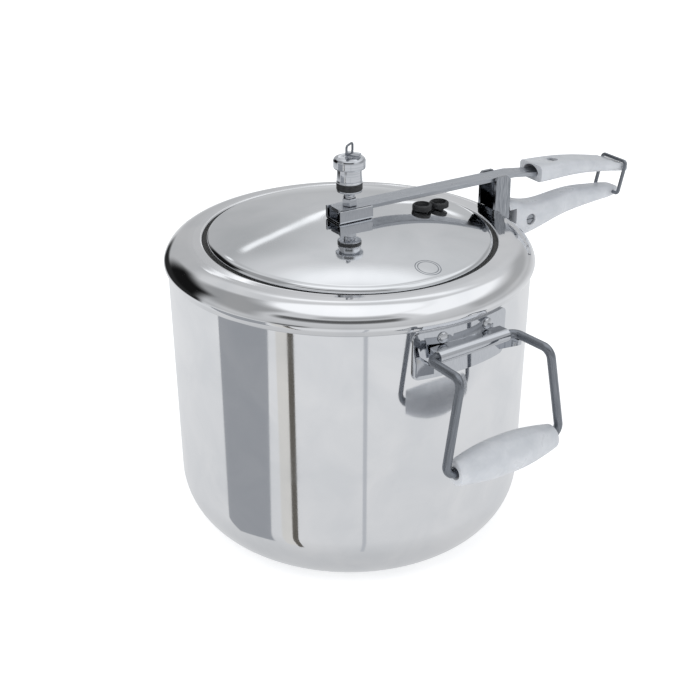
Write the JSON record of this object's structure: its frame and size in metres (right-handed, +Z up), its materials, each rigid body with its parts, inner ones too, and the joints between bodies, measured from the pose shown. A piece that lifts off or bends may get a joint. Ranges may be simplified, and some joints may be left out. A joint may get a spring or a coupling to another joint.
{
  "type": "pressure cooker",
  "caption": "Tall stovetop pressure cooker: polished pot, inner lid pulled up by a lever that a wire loop locks, rocking weight on the vent, white handle and swinging side bails.",
  "frame": {"origin": "centre of the pot's flat base, on the surface it stands on", "axes": "+Z up along the pot axis, +X along the long handle, the two carrying bails face -Y and +Y, turned 3.5 degrees about +Z"},
  "size_m": [0.408, 0.3942, 0.3083],
  "materials": {
    "pot_aluminium": "mirror polished",
    "lid_aluminium": "mirror polished",
    "bracket_steel": "pressed and bright plated",
    "rivet_aluminium": "satin",
    "wire_steel": "drawn wire, zinc bright",
    "lever_steel": "satin strip",
    "weight_chrome": "turned and chromed",
    "handle_white": "pearly white thermoset",
    "rubber_black": "moulded black",
    "gasket_rubber": "moulded grey",
    "screw_steel": "zinc bright"
  },
  "bodies": {
    "pot": {"pot_body": "pot_aluminium", "bail_bracket_a": "bracket_steel", "bail_bracket_b": "bracket_steel", "bail_rivet_a1": "rivet_aluminium", "bail_rivet_a2": "rivet_aluminium", "bail_rivet_b1": "rivet_aluminium", "bail_rivet_b2": "rivet_aluminium", "handle_bracket": "bracket_steel", "bracket_rivet_1": "rivet_aluminium", "bracket_rivet_2": "rivet_aluminium", "lower_handle": "handle_white", "handle_screw": "screw_steel", "handle_nut": "screw_steel"},
    "latch": {"latch_wire": "wire_steel"},
    "lever": {"lever_bar": "lever_steel", "upper_grip": "handle_white", "grip_screw": "screw_steel", "grip_nut": "screw_steel"},
    "lid_set": {"lid": "lid_aluminium", "lid_gasket": "gasket_rubber", "lid_cradle": "bracket_steel", "cradle_bush": "screw_steel", "bar_nut": "weight_chrome", "vent_tube": "weight_chrome", "vent_washer": "rubber_black", "vent_nut": "screw_steel", "safety_plug_1": "rubber_black", "safety_plug_2": "rubber_black"},
    "weight": {"weight_body": "weight_chrome", "weight_ring": "rubber_black", "weight_cap": "weight_chrome", "ring_lug": "weight_chrome"},
    "ring": {"lift_ring": "wire_steel"},
    "bail_a": {"bail_wire_a": "wire_steel"},
    "sleeve_a": {"bail_grip_a": "handle_white"},
    "bail_b": {"bail_wire_b": "wire_steel"},
    "sleeve_b": {"bail_grip_b": "handle_white"}
  },
  "joints": [
    {"name": "latch_swing", "type": "hinge", "parent": "pot", "child": "latch", "pos_m": [0.257, 0, 0.226], "axis": [0, 1, 0], "range_deg": [0, 150]},
    {"name": "lever_lift", "type": "hinge", "parent": "pot", "child": "lever", "pos_m": [0.1427, 0, 0.2575], "axis": [0, -1, 0], "range_deg": [0, 3.55]},
    {"name": "lid_level", "type": "hinge", "parent": "lever", "child": "lid_set", "pos_m": [0, 0, 0.2591], "axis": [0, -1, 0], "range_deg": [-3.55, 0]},
    {"name": "weight_lift", "type": "slide", "parent": "lid_set", "child": "weight", "axis": [0, 0, 1], "range_m": [0, 0.03]},
    {"name": "ring_flip", "type": "hinge", "parent": "weight", "child": "ring", "pos_m": [0, 0, 0.30025], "axis": [0.8387, 0.5446, 0], "range_deg": [-60, 60]},
    {"name": "bail_swing_a", "type": "hinge", "parent": "pot", "child": "bail_a", "pos_m": [0.00888, -0.14523, 0.201], "axis": [-0.9981, -0.061, 0], "range_deg": [0, 90]},
    {"name": "bail_swing_b", "type": "hinge", "parent": "pot", "child": "bail_b", "pos_m": [-0.00888, 0.14523, 0.201], "axis": [0.9981, 0.061, 0], "range_deg": [0, 90]},
    {"name": "sleeve_turn_a", "type": "hinge", "parent": "bail_a", "child": "sleeve_a", "pos_m": [0.01117, -0.18266, 0.133], "axis": [0.9981, 0.061, 0], "continuous": true},
    {"name": "sleeve_turn_b", "type": "hinge", "parent": "bail_b", "child": "sleeve_b", "pos_m": [-0.01117, 0.18266, 0.133], "axis": [0.9981, 0.061, 0], "continuous": true}
  ],
  "couplings": [
    {"joint": "lever_lift", "follows": "latch_swing", "ratio": 0.023333},
    {"joint": "lid_level", "follows": "latch_swing", "ratio": -0.023333}
  ]
}
